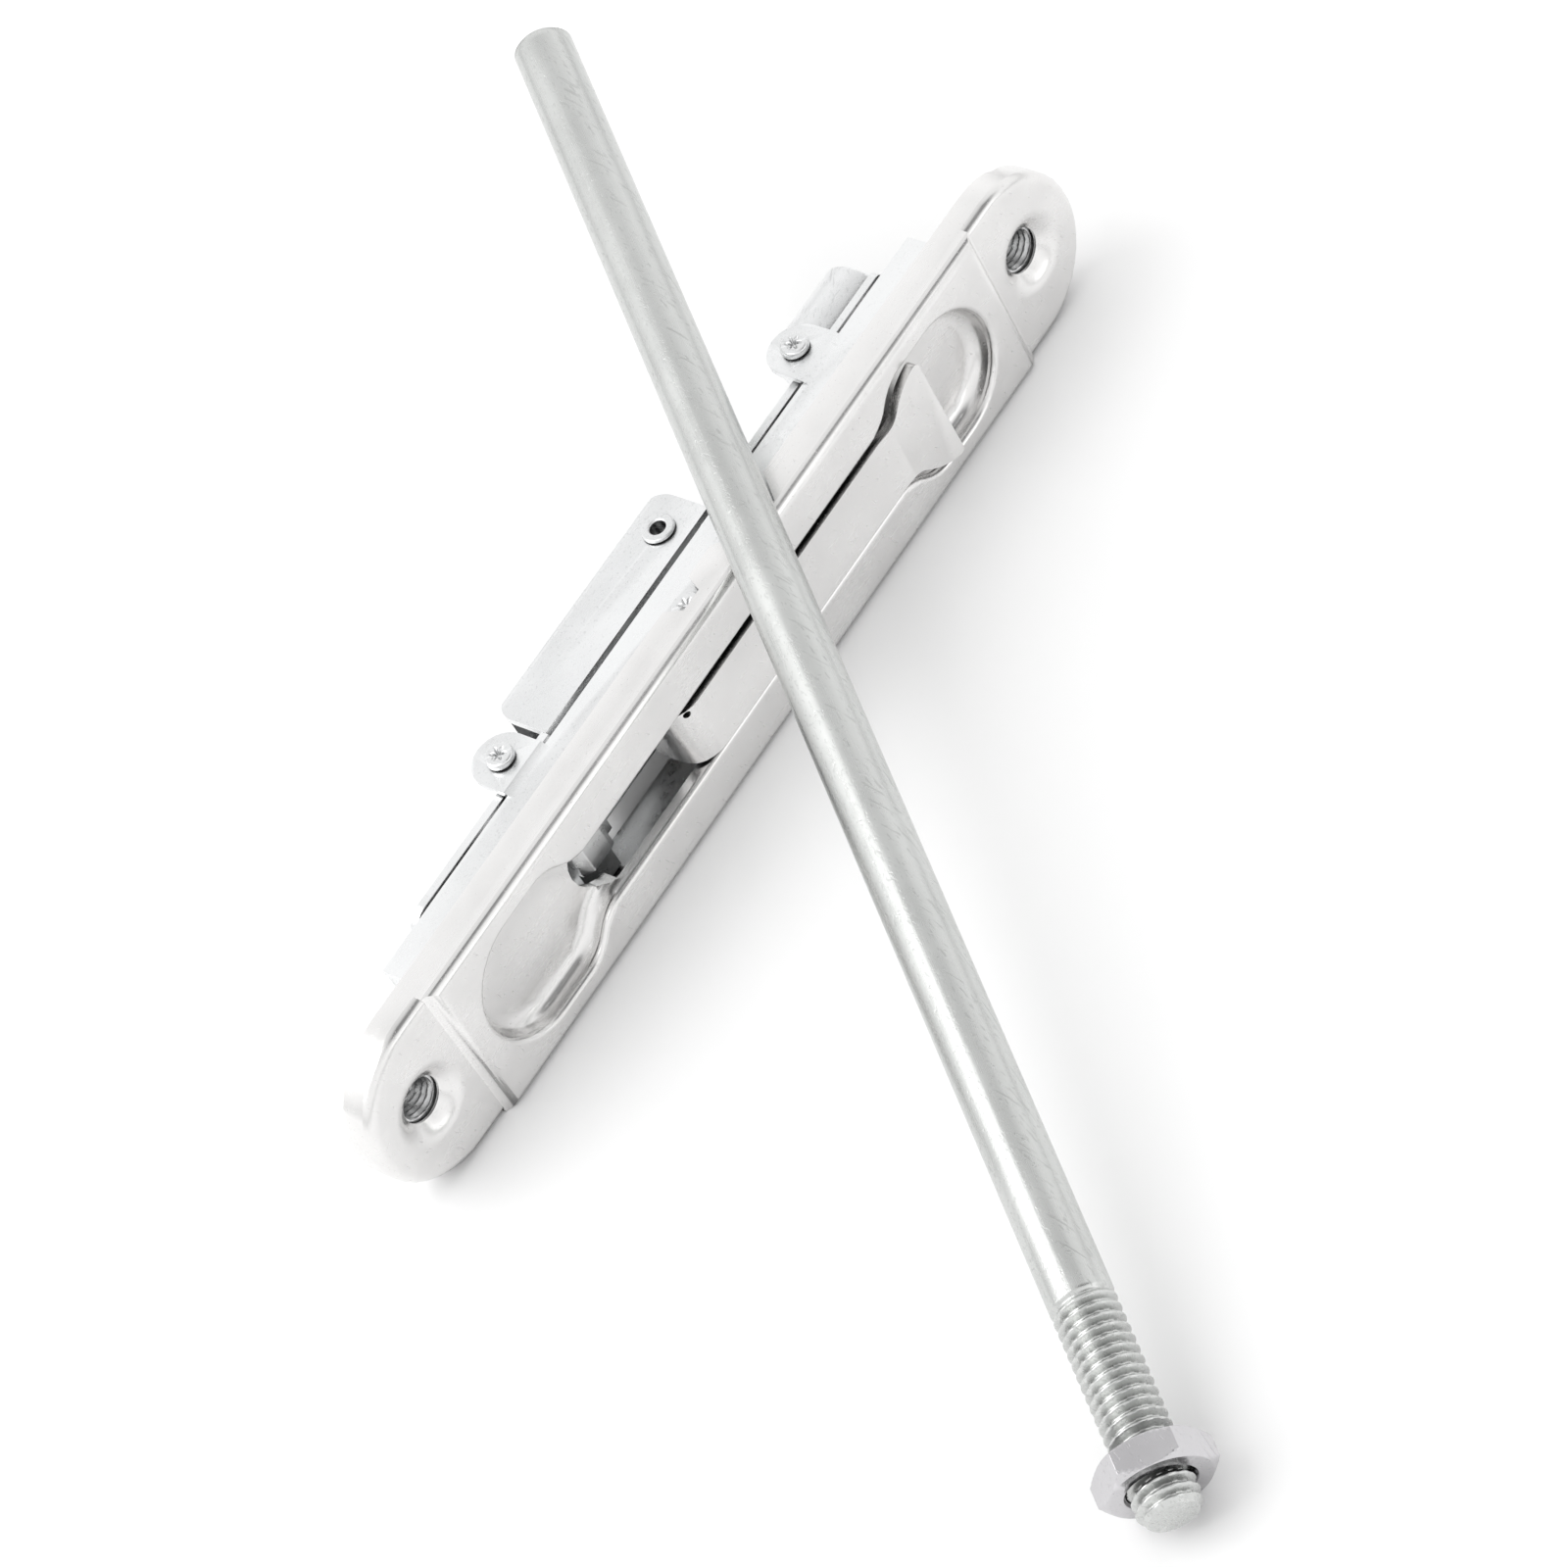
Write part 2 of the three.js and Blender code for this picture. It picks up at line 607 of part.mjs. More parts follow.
// Materials.
const stainless = { color: 0xc9c8c4, roughness: 0.32, metalness: 0.9 };
const zinc = { color: 0xd6d8da, roughness: 0.38, metalness: 0.85 };
const rodZinc = { color: 0xb9bcb6, roughness: 0.34, metalness: 0.9 };
const nutSteel = { color: 0xa9a6ac, roughness: 0.3, metalness: 0.9 };
const springSteel = { color: 0x8d9096, roughness: 0.4, metalness: 0.9 };
const bronze = { color: 0xb09a6a, roughness: 0.45, metalness: 0.8 };

function mesh(name, body, look) {
  const data = body.getMesh();
  const geometry = new THREE.BufferGeometry();
  geometry.setAttribute("position", new THREE.BufferAttribute(new Float32Array(data.vertProperties), 3));
  geometry.setIndex(new THREE.BufferAttribute(new Uint32Array(data.triVerts), 1));
  geometry.computeVertexNormals();
  const made = new THREE.Mesh(geometry, new THREE.MeshStandardMaterial(look));
  made.name = name;
  return made;
}

// The bolt body, laid on its long side: its plate's lower side is at height 0, its face looks along -y.
function boltBody() {
  const group = new THREE.Group();
  const wallInside = HOUSING.outer - HOUSING.sheet;
  const { shank, sleeve: sleeveRadius, bush: bushRadius, depth } = PIVOT;
  const bore = shank + 0.2;
  const spacer = sleeve(bore, sleeveRadius, LEVER.half + CLEAR, wallInside - CLEAR, 0, depth);
  const bush = sleeve(bore, bushRadius, -LEVER.half, LEVER.half, 0, depth);
  group.add(
    mesh("face_plate", facePlate(), stainless),
    mesh("bush_upper", screwBush().translate([SCREW.centre, 0, 0]), zinc),
    mesh("bush_lower", screwBush().translate([-SCREW.centre, 0, 0]), zinc),
    mesh("housing", housing(), zinc),
    mesh("ear_pin_upper", crossRivet(PIN, EAR.upper, EAR.pinDepth), zinc),
    mesh("ear_pin_lower", crossRivet(PIN, EAR.lower, EAR.pinDepth), zinc),
    mesh("pivot_rivet", crossRivet(PIVOT, 0, PIVOT.depth), zinc),
    mesh("pivot_spacer_left", spacer, zinc),
    mesh("pivot_spacer_right", spacer.mirror([0, 1, 0]), zinc),
    mesh("stop_block", stopBlock(), zinc),
    mesh("leaf_spring", leafSpring(), springSteel),
    mesh("spring_rivet", springRivet(), zinc),
    mesh("lever", lever(), stainless),
    mesh("lever_bush", bush, bronze),
    mesh("drive_bar", driveBar(), zinc),
    mesh("carriage", carriage(), zinc),
    mesh("tubular_rivet_left", tubularRivet(1), zinc),
    mesh("tubular_rivet_right", tubularRivet(-1), zinc),
    mesh("tube_socket", tubeSocket(), zinc),
  );
  group.rotation.x = Math.PI / 2;
  group.position.set(0, -REST_DEPTH, HALF);
  return group;
}

// The rod and nut: the nut's lowest edge on the resting surface, the shank on the plate's upper side.
function leaningRod() {
  const group = new THREE.Group();
  const radius = ROD_DIAMETER / 2;
  const touch = 0.6;
  const nutAlong = ROD.length - NUT.fromEnd;
  const along = nutAlong - ROD.toCrossing;
  const cornerAngle = THREE.MathUtils.degToRad(30 - Math.abs(NUT.turnDeg));
  const nutReach = (NUT_ACROSS_FLATS / Math.sqrt(3)) * Math.cos(cornerAngle);
  let tilt = 0.16;
  for (let i = 0; i < 12; i++) {
    const low = nutReach * Math.cos(tilt) + (NUT.thickness / 2) * Math.sin(tilt) + 0.02;
    tilt = Math.asin((WIDTH + CLEAR + radius / Math.cos(tilt) - low) / along);
  }
  const heading = THREE.MathUtils.degToRad(ROD.headingDeg);
  const direction = new THREE.Vector3(
    -Math.cos(heading) * Math.cos(tilt),
    -Math.sin(heading) * Math.cos(tilt),
    -Math.sin(tilt),
  );
  const crossingHeight = WIDTH + CLEAR + radius / Math.cos(tilt);
  const crossing = new THREE.Vector3(ROD.crossing, touch - REST_DEPTH, crossingHeight);
  const level = new THREE.Vector3(0, 0, 1).cross(direction).normalize();
  const across = new THREE.Vector3().crossVectors(level, direction);
  group.matrixAutoUpdate = false;
  group.matrix.makeBasis(level, direction, across);
  group.matrix.setPosition(crossing.clone().addScaledVector(direction, -ROD.toCrossing));
  group.add(mesh("rod", extensionRod(), rodZinc));
  group.add(mesh("hex_nut", hexNut().rotate([0, 30 + NUT.turnDeg, 0]).translate([0, nutAlong, 0]), nutSteel));
  return group;
}

const part = new THREE.Group();
part.name = "lever_flush_bolt";
part.add(boltBody(), leaningRod());

export default part;
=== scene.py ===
"""A lever flush bolt on its long side, with its loose extension rod leaning across it, in a pale studio."""

import math

import bmesh
import bpy
from mathutils import Matrix, Vector


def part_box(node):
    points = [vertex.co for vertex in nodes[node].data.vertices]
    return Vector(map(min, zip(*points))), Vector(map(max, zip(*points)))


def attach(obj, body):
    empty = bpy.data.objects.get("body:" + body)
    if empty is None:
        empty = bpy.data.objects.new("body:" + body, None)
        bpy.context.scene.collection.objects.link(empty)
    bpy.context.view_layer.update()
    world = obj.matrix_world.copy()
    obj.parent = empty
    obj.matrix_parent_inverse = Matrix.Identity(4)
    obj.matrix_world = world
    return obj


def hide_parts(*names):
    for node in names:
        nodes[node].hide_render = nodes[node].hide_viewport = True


MM = 0.001
INCH = 25.4 * MM
NEARLY_NOTHING = 0.01 * MM

# Where things are, in metres, in the frame whose floor is Z = 0 and whose face plate looks along -Y.
ROD_RADIUS = 3.97 * MM
ROD_LENGTH = 226.8 * MM
ROD_PLAIN_END = Vector((60.39, 62.54, 42.93)) * MM
ROD_DIRECTION = Vector((-0.60332, -0.78061, -0.16327)).normalized()
ROD_PLAIN_CHAMFER = 0.55 * MM
ROD_THREAD_CHAMFER = 1.1 * MM
THREAD_PITCH = INCH / 18
THREAD_LENGTH = 28.2 * MM
THREAD_DEPTH = 0.60 * THREAD_PITCH
NUT_ACROSS = 12.7 * MM
NUT_HALF = 2.0 * MM
NUT_BORE = 4.1 * MM
NUT_FROM_END = 5.8 * MM
NUT_TURN = math.radians(-4)
BUSH_BORE = 2.95 * MM
BUSH_PITCH = 0.9 * MM
BUSH_THREAD_DEPTH = 0.35 * MM
EAR_PIN = {"shank": 1.5 * MM, "head": 1.95 * MM, "foot": 11.75 * MM, "top": 12.7 * MM, "punch": 0.6 * MM}
PIVOT = {"shank": 1.7 * MM, "head": 2.0 * MM, "foot": 11.05 * MM, "top": 11.42 * MM, "punch": 0.36 * MM}

# How near a wall has to be for a point to get painted shade, and how deep scratches are.
PAINTED_SHADE_REACH = 7 * MM
SCRATCH_DEPTH = 0.006 * MM

# Directions, from the object, of the dark patch that the metal reflects and of the low front light.
DARK_OPENING = Vector((0.35, -0.42, 0.84)).normalized()
FRONT_GLOW = Vector((0.33, -0.92, 0.24)).normalized()
OPENING_EDGE = math.radians(27)
OPENING_CORE = math.radians(12)
OPENING_STRENGTH = 0.22

# The white tent's brightness: at the level of the floor, at heights from 0 to 1 above it, and at the top.
TENT_STRENGTH = 1.15
TENT_AT_FLOOR = 0.62
TENT_BRIGHTNESS = ((0.06, 0.70), (0.16, 0.92), (0.35, 1.0), (0.74, 0.90), (0.90, 0.74))
TENT_AT_TOP = 0.70

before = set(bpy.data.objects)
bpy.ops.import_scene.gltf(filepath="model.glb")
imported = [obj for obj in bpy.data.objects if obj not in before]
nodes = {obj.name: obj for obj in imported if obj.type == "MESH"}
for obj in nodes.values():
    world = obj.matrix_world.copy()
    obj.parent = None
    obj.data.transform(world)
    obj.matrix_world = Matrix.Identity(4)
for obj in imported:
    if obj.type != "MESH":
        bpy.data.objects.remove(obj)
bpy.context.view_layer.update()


# ---------------------------------------------------------------- shader helpers

class Shader:
    """One procedural material, built up node by node."""

    def __init__(self, name):
        self.material = bpy.data.materials.new(name)
        self.material.use_nodes = True
        self.tree = self.material.node_tree
        self.surface = self.tree.nodes["Principled BSDF"]
        self.place = self.node("ShaderNodeTexCoord").outputs["Object"]

    def node(self, kind, **values):
        made = self.tree.nodes.new(kind)
        for key, value in values.items():
            setattr(made, key, value)
        return made

    def link(self, source, target):
        self.tree.links.new(source, target)

    def put(self, value, socket):
        """A number or colour is set on the socket, and an output is linked to it."""
        if isinstance(value, bpy.types.NodeSocket):
            self.link(value, socket)
        else:
            socket.default_value = value

    def scaled(self, scale, turn=(0, 0, 0)):
        mapping = self.node("ShaderNodeMapping")
        self.link(self.place, mapping.inputs["Vector"])
        mapping.inputs["Scale"].default_value = scale
        mapping.inputs["Rotation"].default_value = turn
        return mapping.outputs["Vector"]

    def noise(self, vector, scale, detail=4.0, roughness=0.6):
        made = self.node("ShaderNodeTexNoise")
        self.link(vector, made.inputs["Vector"])
        made.inputs["Scale"].default_value = scale
        made.inputs["Detail"].default_value = detail
        made.inputs["Roughness"].default_value = roughness
        return made.outputs["Fac"]

    def spread(self, value, low, high, to_low=0.0, to_high=1.0):
        made = self.node("ShaderNodeMapRange")
        made.clamp = True
        self.put(value, made.inputs["Value"])
        made.inputs["From Min"].default_value = low
        made.inputs["From Max"].default_value = high
        made.inputs["To Min"].default_value = to_low
        made.inputs["To Max"].default_value = to_high
        return made.outputs["Result"]

    def math(self, operation, first, second):
        made = self.node("ShaderNodeMath", operation=operation)
        self.put(first, made.inputs[0])
        self.put(second, made.inputs[1])
        return made.outputs["Value"]

    def mix(self, share, first, second):
        made = self.node("ShaderNodeMix", data_type="RGBA")
        self.put(share, made.inputs["Factor"])
        self.put(first, made.inputs["A"])
        self.put(second, made.inputs["B"])
        return made.outputs["Result"]

    def scratches(self, seed, density, angle):
        """Thin marks in roughly one direction: 1 on a mark and 0 beside it."""
        turned = self.scaled((1, 1, 1), (angle, angle * 0.7 + seed, angle * 1.3))
        stretch = self.node("ShaderNodeMapping")
        self.link(turned, stretch.inputs["Vector"])
        stretch.inputs["Scale"].default_value = (60, 2600, 2600)
        stretch.inputs["Location"].default_value = (seed, seed * 2.3, seed * 0.7)
        lines = self.noise(stretch.outputs["Vector"], 1.0, 2.0, 0.5)
        return self.spread(lines, 0.72 - density, 0.78 - density)

    # Paler along sharp edges: partly wear and partly a painted highlight.
    def wear_and_edge_highlight(self):
        geometry = self.node("ShaderNodeNewGeometry")
        return self.spread(geometry.outputs["Pointiness"], 0.52, 0.60)

    def painted_crevice_shade(self, reach):
        """Painted shade mask: 0 deep in a gap or recess, where shade is painted, and 1 in the open."""
        made = self.node("ShaderNodeAmbientOcclusion", samples=8)
        made.inputs["Distance"].default_value = reach
        return self.spread(made.outputs["AO"], 0.1, 0.6)

    def bump(self, height, distance, before=None):
        made = self.node("ShaderNodeBump")
        made.inputs["Strength"].default_value = 1.0
        made.inputs["Distance"].default_value = distance
        self.link(height, made.inputs["Height"])
        if before is not None:
            self.link(before, made.inputs["Normal"])
        return made.outputs["Normal"]


def grey(value, tint=(1.0, 1.0, 1.0)):
    return (value * tint[0], value * tint[1], value * tint[2], 1.0)


def plated_metal(name, base, tint, smooth, rough, grain, grain_depth, scratch, pits):
    """Metal with a fine grain, faintly cloudy gloss, crisp scratches, small pits, paler edges that are part
    wear and part painted highlight, and painted shade in gaps and recesses.

    smooth and rough bound its roughness, grain is the grain's fineness along X, Y and Z, and scratch is how
    densely it is scratched.
    """
    shader = Shader(name)
    surface = shader.surface
    surface.inputs["Metallic"].default_value = 1.0
    clouds = shader.noise(shader.place, 90.0, 5.0)
    fine = shader.noise(shader.scaled(grain), 1.0, 3.0, 0.7)
    marks = shader.math("MAXIMUM", shader.scratches(1.7, scratch, 0.4), shader.scratches(6.1, scratch, 2.1))
    edges = shader.wear_and_edge_highlight()
    dark = grey(base * 0.95, tint)
    light = grey(min(1.0, base * 1.04), tint)
    colour = shader.mix(shader.spread(clouds, 0.35, 0.65), dark, light)
    colour = shader.mix(shader.math("MULTIPLY", marks, 0.45), colour, grey(base * 0.7, tint))
    # Paler colour on sharp edges: part wear, part painted highlight.
    colour = shader.mix(shader.math("MULTIPLY", edges, 0.6), colour, grey(min(1.0, base * 1.2), tint))
    # Painted shade: the colour darkens to a quarter of its base in gaps and recesses.
    colour = shader.mix(shader.painted_crevice_shade(PAINTED_SHADE_REACH), grey(base * 0.25, tint), colour)
    shader.link(colour, surface.inputs["Base Color"])
    blend = shader.math("ADD", clouds, fine)
    gloss = shader.spread(blend, 0.7, 1.3, smooth, rough)
    gloss = shader.math("ADD", gloss, shader.math("MULTIPLY", marks, 0.12))
    shader.link(gloss, surface.inputs["Roughness"])
    normal = shader.bump(fine, grain_depth)
    specks = shader.noise(shader.place, 1500.0, 2.0, 0.6)
    normal = shader.bump(shader.spread(specks, 0.28, 0.40), pits, normal)
    normal = shader.bump(shader.math("SUBTRACT", 1.0, marks), SCRATCH_DEPTH, normal)
    shader.link(normal, surface.inputs["Normal"])
    return shader.material


def satin_stainless():
    return plated_metal(
        "satin_stainless",
        base=0.79,
        tint=(1.0, 0.992, 0.985),
        smooth=0.20,
        rough=0.30,
        grain=(60, 1800, 1800),
        grain_depth=0.004 * MM,
        scratch=0.03,
        pits=0.0015 * MM,
    )


def bright_zinc():
    return plated_metal(
        "bright_zinc",
        base=0.80,
        tint=(0.992, 1.0, 1.004),
        smooth=0.20,
        rough=0.38,
        grain=(500, 900, 900),
        grain_depth=0.008 * MM,
        scratch=0.09,
        pits=0.006 * MM,
    )


def drawn_zinc():
    """The rod's plating: marks run along its own Z."""
    return plated_metal(
        "drawn_zinc",
        base=0.62,
        tint=(0.985, 1.0, 0.982),
        smooth=0.20,
        rough=0.36,
        grain=(1500, 1500, 40),
        grain_depth=0.012 * MM,
        scratch=0.10,
        pits=0.012 * MM,
    )


def nut_plating():
    return plated_metal(
        "nut_plating",
        base=0.60,
        tint=(1.0, 0.985, 1.01),
        smooth=0.12,
        rough=0.26,
        grain=(700, 700, 700),
        grain_depth=0.006 * MM,
        scratch=0.07,
        pits=0.006 * MM,
    )


def spring_steel():
    return plated_metal(
        "spring_steel",
        base=0.60,
        tint=(0.98, 0.99, 1.0),
        smooth=0.22,
        rough=0.34,
        grain=(80, 1500, 1500),
        grain_depth=0.005 * MM,
        scratch=0.06,
        pits=0.003 * MM,
    )


def bush_bronze():
    return plated_metal(
        "bush_bronze",
        base=0.66,
        tint=(1.0, 0.84, 0.55),
        smooth=0.28,
        rough=0.42,
        grain=(700, 60, 700),
        grain_depth=0.005 * MM,
        scratch=0.08,
        pits=0.005 * MM,
    )


# ---------------------------------------------------------------- mesh helpers

def add_object(name, mesh):
    made = bpy.data.objects.new(name, mesh)
    bpy.context.scene.collection.objects.link(made)
    return made


def finish(piece, material, slot, body, *stands_for):
    piece.data.materials.clear()
    piece.data.materials.append(material)
    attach(piece, body)
    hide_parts(*stands_for)
    return piece


def smooth_by_angle(mesh, degrees):
    mesh.polygons.foreach_set("use_smooth", [True] * len(mesh.polygons))
    mesh.set_sharp_from_angle(angle=math.radians(degrees))


def weighted_normals(piece):
    modifier = piece.modifiers.new("flat_faces_stay_flat", "WEIGHTED_NORMAL")
    modifier.keep_sharp = True
    modifier.weight = 100


def rounded_edges(piece, radius, sharp):
    bevel = piece.modifiers.new("rounded_edges", "BEVEL")
    bevel.width = radius
    bevel.segments = 3
    bevel.limit_method = "ANGLE"
    bevel.angle_limit = math.radians(sharp)
    bevel.miter_outer = "MITER_ARC"


def refined_copy(node, name, edge_radius, sharp=32):
    """A copy of a CAD node with merged faces, small rounded edges and smooth shading."""
    mesh = nodes[node].data.copy()
    mesh.name = name
    work = bmesh.new()
    work.from_mesh(mesh)
    bmesh.ops.remove_doubles(work, verts=work.verts, dist=2e-6)
    flat = math.radians(1.5)
    bmesh.ops.dissolve_limit(work, angle_limit=flat, verts=work.verts, edges=work.edges)
    work.to_mesh(mesh)
    work.free()
    piece = add_object(name, mesh)
    smooth_by_angle(mesh, sharp)
    if edge_radius:
        rounded_edges(piece, edge_radius, sharp)
    weighted_normals(piece)
    return piece


def rounded_profile(corners, steps=5):
    """Corners are (radius, height, rounding); each corner becomes an arc of its own rounding."""
    points = []
    last = len(corners) - 1
    for i, (r, h, rounding) in enumerate(corners):
        here = Vector((r, h))
        if rounding == 0 or i in (0, last):
            points.append((r, h))
            continue
        back = (Vector(corners[i - 1][:2]) - here).normalized()
        on = (Vector(corners[i + 1][:2]) - here).normalized()
        half = back.angle(on) / 2
        reach = rounding / math.tan(half)
        centre = here + (back + on).normalized() * (rounding / math.sin(half))
        start = here + back * reach - centre
        end = here + on * reach - centre
        for k in range(steps + 1):
            share = k / steps
            point = (start * (1 - share) + end * share).normalized() * rounding + centre
            points.append((point.x, point.y))
    return points


def circle(steps, height, radius_at):
    """A level ring of points whose radius depends on the angle."""
    points = []
    for i in range(steps):
        angle = 2 * math.pi * i / steps
        radius = radius_at(angle)
        points.append((radius * math.cos(angle), radius * math.sin(angle), height))
    return points


def ring_mesh(name, rings, closed=False):
    """Joins rings of points, all of one length. The ends are filled unless it is closed on itself."""
    count = len(rings[0])
    points = [point for ring in rings for point in ring]
    faces = []
    for j in range(len(rings) - (0 if closed else 1)):
        low = j * count
        high = ((j + 1) % len(rings)) * count
        for i in range(count):
            k = (i + 1) % count
            faces.append((low + i, low + k, high + k, high + i))
    if not closed:
        faces.append(tuple(reversed(range(count))))
        faces.append(tuple(range(len(points) - count, len(points))))
    mesh = bpy.data.meshes.new(name)
    mesh.from_pydata(points, [], faces)
    mesh.validate()
    return mesh


def turned_mesh(name, profile, steps=72, closed=False, shape=None):
    """A surface of revolution about Z. shape changes each (radius, height, angle) into a new pair."""
    rings = []
    for r, h in profile:
        ring = []
        for i in range(steps):
            angle = 2 * math.pi * i / steps
            radius, height = shape(r, h, angle) if shape else (r, h)
            ring.append((radius * math.cos(angle), radius * math.sin(angle), height))
        rings.append(ring)
    return ring_mesh(name, rings, closed)


def placed(name, mesh, origin, axis, sharp=40, turn=0.0):
    """The mesh's own Z laid along an axis at a point of the frame."""
    piece = add_object(name, mesh)
    turned = Vector(axis).to_track_quat("Z", "X").to_matrix().to_4x4()
    piece.matrix_world = Matrix.Translation(origin) @ turned @ Matrix.Rotation(turn, 4, "Z")
    smooth_by_angle(mesh, sharp)
    return piece


# ---------------------------------------------------------------- the pieces

def centre_of(node):
    low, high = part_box(node)
    return (low + high) / 2


def star_punch(reach, depth, petals, top):
    """Presses a star of petals into the flat ends of a rivet."""

    def shape(r, h, angle):
        if abs(h) < top or r > reach:
            return r, h
        wave = 0.5 + 0.5 * math.cos(petals * angle)
        share = max(0.0, 1.0 - r / (reach * (0.45 + 0.55 * wave)))
        return r, h - math.copysign(depth * min(1.0, 1.6 * share), h)

    return shape


def cross_rivet(node, name, body, material, shank, head, foot, top, punch):
    """A rivet across the body: a shank with a low, star-punched head at each end."""
    edge = (top - foot) * 0.4
    inner = head - edge
    corners = [
        (shank, 0, 0),
        (shank, foot, 0),
        (head, foot, edge / 3),
        (head, top, edge),
        (inner / 2, top, 0),
    ]
    half = rounded_profile(corners)[:-1]
    half += [(head * share, top) for share in (0.8, 0.7, 0.6, 0.5, 0.4, 0.3, 0.22, 0.14, 0.07, 0.02)]
    profile = [(r, -h) for r, h in reversed(half)] + half[1:]
    mesh = turned_mesh(name, profile, 96, shape=star_punch(head * 0.62, punch, 6, top - NEARLY_NOTHING))
    piece = placed(name, mesh, centre_of(node), (0, 0, 1), 50)
    return finish(piece, material, "zinc", body, node)


def hollow_rivet(node, name, side, material):
    """A tubular rivet with a rolled flange against the carriage wall."""
    bore, outer, flange = 1.1 * MM, 1.5 * MM, 2.3 * MM
    low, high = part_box(node)
    length = high.z - low.z
    corners = [
        (bore, length / 2, 0.3 * MM),
        (flange - 0.05 * MM, length / 2, 0.22 * MM),
        (flange, length / 2 - 0.45 * MM, 0.05 * MM),
        (outer, length / 2 - 0.45 * MM, 0.05 * MM),
        (outer, 0.4 * MM - length / 2, 0.05 * MM),
        (flange - 0.2 * MM, 0.4 * MM - length / 2, 0.1 * MM),
        (flange - 0.2 * MM, -length / 2, 0.15 * MM),
        (bore, -length / 2, 0.2 * MM),
    ]
    corners = [corners[-1]] + corners + [corners[0]]
    profile = rounded_profile(corners)[1:-1]
    mesh = turned_mesh(name, profile[::-1], 64, closed=True)
    piece = placed(name, mesh, centre_of(node), (0, 0, side))
    return finish(piece, material, "zinc", "slider", node)


def thread_radius(outer, depth, height, angle):
    """Radius of a helical thread at a height and angle: sloped flanks, narrow crests and roots."""
    phase = (height / THREAD_PITCH - angle / (2 * math.pi)) % 1.0
    slope = abs(phase - 0.5) * 2
    return outer - depth * min(1.0, max(0.0, (slope - 0.12) / 0.72))


def rod_radius(height, angle):
    """The rod's radius: plain, then threaded from its start on, and chamfered at both ends."""
    start = ROD_LENGTH - THREAD_LENGTH
    run_out = 0.5 * MM
    radius = ROD_RADIUS
    if height > start - run_out:
        fade = min(1.0, (height - start + run_out) / (1.6 * THREAD_PITCH))
        radius = thread_radius(ROD_RADIUS, THREAD_DEPTH * fade, height, angle)
    near_plain = ROD_RADIUS - max(0.0, ROD_PLAIN_CHAMFER - height) * 0.9
    near_thread = ROD_RADIUS - max(0.0, ROD_THREAD_CHAMFER - (ROD_LENGTH - height)) * 0.75
    return min(radius, near_plain, near_thread)


def rod(material):
    """A plain shank with a chamfered end, then a helical thread that deepens from the shank on."""
    steps = 96
    lead = 1.0 * MM
    plain_start = 1.5 * MM
    plain_rows = 60
    rows_per_turn = 14
    start = ROD_LENGTH - THREAD_LENGTH
    heights = [0.0, ROD_PLAIN_CHAMFER * 0.3, ROD_PLAIN_CHAMFER, plain_start]
    plain = start - plain_start - lead
    heights += [plain_start + plain * k / plain_rows for k in range(1, plain_rows + 1)]
    rows = int((THREAD_LENGTH + lead) / (THREAD_PITCH / rows_per_turn))
    heights += [start - lead + (THREAD_LENGTH + lead) * k / rows for k in range(1, rows + 1)]
    rings = [circle(steps, height, lambda angle: rod_radius(height, angle)) for height in heights]
    for share in (0.9, 0.6, 0.3):
        rings.append([(x * share, y * share, z) for x, y, z in rings[-1]])
        rings.insert(0, [(x * share, y * share, z) for x, y, z in rings[0]])
    piece = placed("rod_fine", ring_mesh("rod_fine", rings), ROD_PLAIN_END, ROD_DIRECTION, 42)
    return finish(piece, material, "rod_zinc", "rod", "rod")


def nut(material):
    """Hexagon with both faces chamfered by a cone, and a countersunk bore."""
    steps = 180
    sink = 0.35 * MM
    chamfer_radius = NUT_ACROSS / 2 * 0.985
    slope = math.tan(math.radians(30))
    sixth = math.pi / 3
    heights = [NUT_HALF * s for s in (-1, -0.97, -0.93, -0.88, -0.8, -0.7, -0.6, -0.45, -0.2, 0)]
    heights += [-h for h in reversed(heights[:-1])]

    def outside(height, angle):
        wedge = (angle + sixth / 2) % sixth - sixth / 2
        flat = NUT_ACROSS / 2 / math.cos(wedge)
        return min(flat, chamfer_radius + (NUT_HALF - abs(height)) / slope)

    inner = (
        (NUT_BORE + sink, NUT_HALF),
        (NUT_BORE, NUT_HALF - sink),
        (NUT_BORE, sink - NUT_HALF),
        (NUT_BORE + sink, -NUT_HALF),
    )
    rings = [circle(steps, height, lambda angle: outside(height, angle)) for height in heights]
    rings += [circle(steps, height, lambda angle: radius) for radius, height in inner]
    mesh = ring_mesh("nut_fine", rings, closed=True)
    origin = ROD_PLAIN_END + ROD_DIRECTION * (ROD_LENGTH - NUT_FROM_END)
    piece = placed("nut_fine", mesh, origin, ROD_DIRECTION, 25, NUT_TURN)
    rounded_edges(piece, 0.1 * MM, 25)
    return finish(piece, material, "nut_steel", "nut", "hex_nut")


def threaded_bush(node, name, material):
    """A bush along Y with a threaded bore."""
    low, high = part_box(node)
    length = high.y - low.y
    outer = (high.x - low.x) / 2
    chamfered = outer - 0.3 * MM
    steps = 72
    rows = int(length / (BUSH_PITCH / 10))

    def bore(height, angle):
        phase = (height / BUSH_PITCH - angle / (2 * math.pi)) % 1.0
        return BUSH_BORE - BUSH_THREAD_DEPTH * (1 - abs(phase - 0.5) * 2)

    heights = [-length / 2 + length * k / rows for k in range(rows + 1)]
    rings = [circle(steps, height, lambda angle: bore(height, angle)) for height in heights]
    outline = ((chamfered, 0.5), (outer, 0.44), (outer, -0.44), (chamfered, -0.5))
    rings += [circle(steps, share * length, lambda angle: radius) for radius, share in outline]
    mesh = ring_mesh(name, rings[::-1], closed=True)
    piece = placed(name, mesh, centre_of(node), (0, 1, 0), 35)
    return finish(piece, material, "zinc", "body", node)


